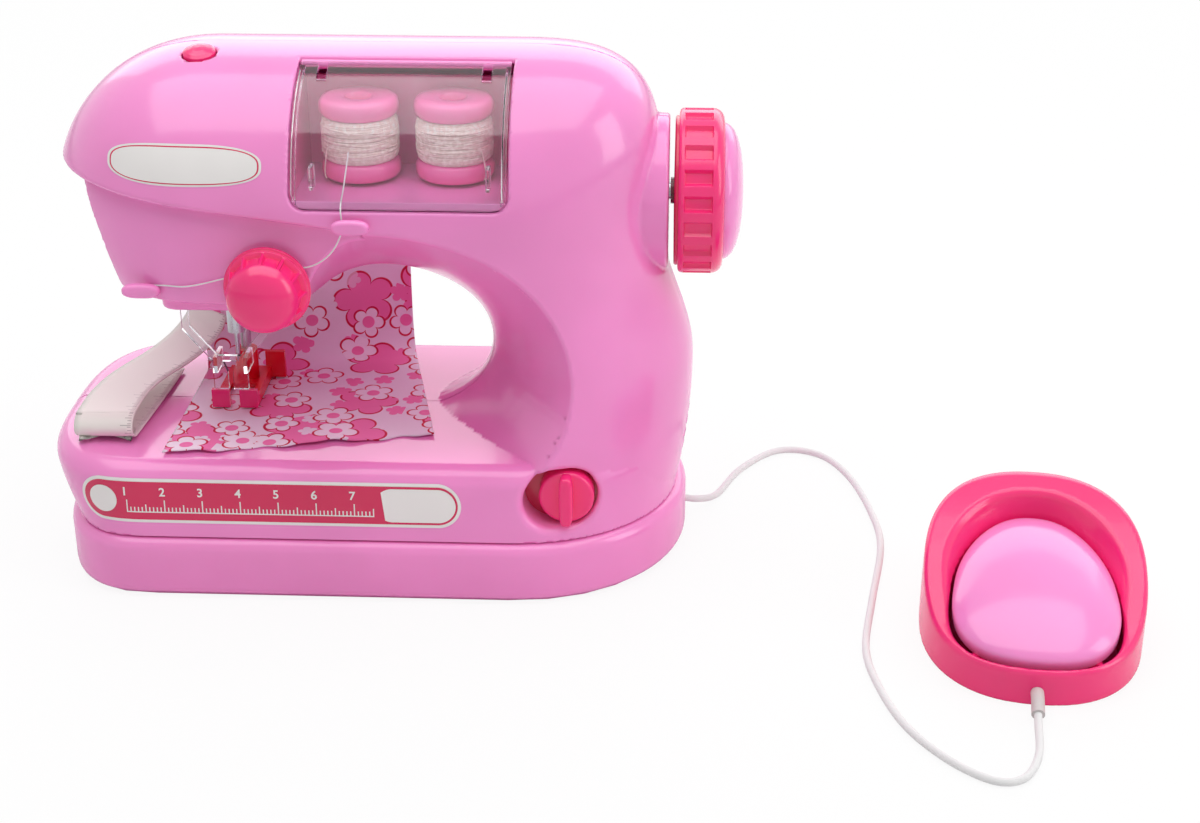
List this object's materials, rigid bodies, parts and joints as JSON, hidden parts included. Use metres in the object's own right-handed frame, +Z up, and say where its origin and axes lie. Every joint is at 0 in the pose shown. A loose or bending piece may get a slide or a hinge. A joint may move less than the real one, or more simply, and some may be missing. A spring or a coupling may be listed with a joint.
{
  "type": "toy sewing machine",
  "caption": "Toy sewing machine with handwheel, tension dial, spool window, needle and presser foot, plus a corded foot pedal, thread spools, a piece of cloth and a tape measure.",
  "frame": {"origin": "on the floor under the middle of the machine's base", "axes": "+X to the handwheel end, +Y to the back, +Z up"},
  "size_m": [0.3709, 0.221, 0.1792],
  "materials": {
    "pink_plastic": "glossy light pink",
    "hot_pink_plastic": "glossy hot pink",
    "deep_red_plastic": "satin deep pink-red",
    "steel": "plain steel",
    "white_plastic": "moulded white",
    "black_plastic": "moulded black",
    "clear_plastic": "clear moulded plastic",
    "thread": "cream thread",
    "cell_sleeve": "plain printed sleeve",
    "board": "green board",
    "lamp": "frosted lamp",
    "cloth": "printed cotton",
    "tape": "coated woven tape",
    "cord": "soft off-white sleeve"
  },
  "bodies": {
    "machine": {"front_shell": "pink_plastic", "rear_shell": "pink_plastic", "base_skirt": "pink_plastic", "bottom_plate": "pink_plastic", "battery_door": "pink_plastic", "batteries": "cell_sleeve", "battery_contacts": "steel", "shell_screws": "steel", "base_screws": "steel", "circuit_board": "board", "speaker": "black_plastic", "cord_clamp": "hot_pink_plastic", "switch_plate": "deep_red_plastic", "slide_switch": "black_plastic", "collar_cap": "deep_red_plastic", "gear_frame": "white_plastic", "idler_axle": "steel", "motor": "steel", "head_frame": "white_plastic", "needle_bush": "steel", "presser_bush": "steel", "needle_guard": "clear_plastic", "led_lamp": "lamp", "dial_bush": "steel", "button_switch": "black_plastic", "spool_tray": "pink_plastic", "upper_hook": "pink_plastic", "lower_hook": "pink_plastic", "sewing_thread": "thread", "sewing_cloth": "cloth", "tape_measure": "tape", "pedal_cord": "cord", "pedal_base": "hot_pink_plastic", "pedal_housing": "hot_pink_plastic", "pedal_pivot": "steel", "pedal_switch": "black_plastic", "pedal_screws": "steel"},
    "wheel": {"handwheel": "hot_pink_plastic", "wheel_cap": "hot_pink_plastic", "drive_shaft": "steel", "shaft_gear": "white_plastic", "crank_disc": "white_plastic"},
    "idler": {"idler_gear": "white_plastic"},
    "pinion": {"motor_pinion": "white_plastic"},
    "needle_unit": {"needle_bar": "steel", "needle_yoke": "white_plastic", "needle": "steel"},
    "presser": {"presser_bar": "steel", "presser_foot": "deep_red_plastic"},
    "dial": {"tension_dial": "hot_pink_plastic"},
    "knob": {"power_knob": "hot_pink_plastic"},
    "button": {"top_button": "hot_pink_plastic"},
    "cover": {"window_cover": "clear_plastic"},
    "spool_left": {"left_spool": "hot_pink_plastic", "left_thread": "thread"},
    "spool_right": {"right_spool": "hot_pink_plastic", "right_thread": "thread"},
    "pedal": {"pedal_plate": "pink_plastic", "plate_hinge": "pink_plastic"}
  },
  "joints": [
    {"name": "handwheel_spin", "type": "hinge", "parent": "machine", "child": "wheel", "pos_m": [0.11, 0, 0.128], "axis": [1, 0, 0], "continuous": true},
    {"name": "idler_spin", "type": "hinge", "parent": "machine", "child": "idler", "pos_m": [0.08, 0, 0.1056], "axis": [1, 0, 0], "continuous": true},
    {"name": "motor_spin", "type": "hinge", "parent": "machine", "child": "pinion", "pos_m": [0.08, 0, 0.0864], "axis": [1, 0, 0], "continuous": true},
    {"name": "needle_slide", "type": "slide", "parent": "machine", "child": "needle_unit", "axis": [0, 0, -1], "range_m": [0, 0.012]},
    {"name": "presser_lift", "type": "slide", "parent": "machine", "child": "presser", "axis": [0, 0, 1], "range_m": [0, 0.006]},
    {"name": "tension_turn", "type": "hinge", "parent": "machine", "child": "dial", "pos_m": [-0.026, -0.055, 0.11], "axis": [0, -1, 0], "range_deg": [-135, 135]},
    {"name": "power_slide", "type": "slide", "parent": "machine", "child": "knob", "axis": [-1, 0, 0], "range_m": [0, 0.004]},
    {"name": "button_press", "type": "slide", "parent": "machine", "child": "button", "axis": [0, 0.2419, -0.9703], "range_m": [0, 0.0015], "stiffness_N_per_m": 400, "springref_m": -0.0005},
    {"name": "window_open", "type": "hinge", "parent": "machine", "child": "cover", "pos_m": [0.017, -0.016, 0.17452], "axis": [-1, 0, 0], "range_deg": [0, 95]},
    {"name": "left_spool_spin", "type": "hinge", "parent": "machine", "child": "spool_left", "pos_m": [0.0018, -0.0205, 0.15], "axis": [0, 0, 1], "continuous": true},
    {"name": "right_spool_spin", "type": "hinge", "parent": "machine", "child": "spool_right", "pos_m": [0.0326, -0.0205, 0.15], "axis": [0, 0, 1], "continuous": true},
    {"name": "pedal_press", "type": "hinge", "parent": "machine", "child": "pedal", "pos_m": [0.22062, -0.10283, 0.0082], "axis": [-0.9951, 0.0993, 0], "range_deg": [0, 5], "stiffness_Nm_per_rad": 0.6, "springref_deg": -2.86}
  ],
  "couplings": [
    {"joint": "idler_spin", "follows": "handwheel_spin", "ratio": -3},
    {"joint": "motor_spin", "follows": "handwheel_spin", "ratio": 9}
  ]
}
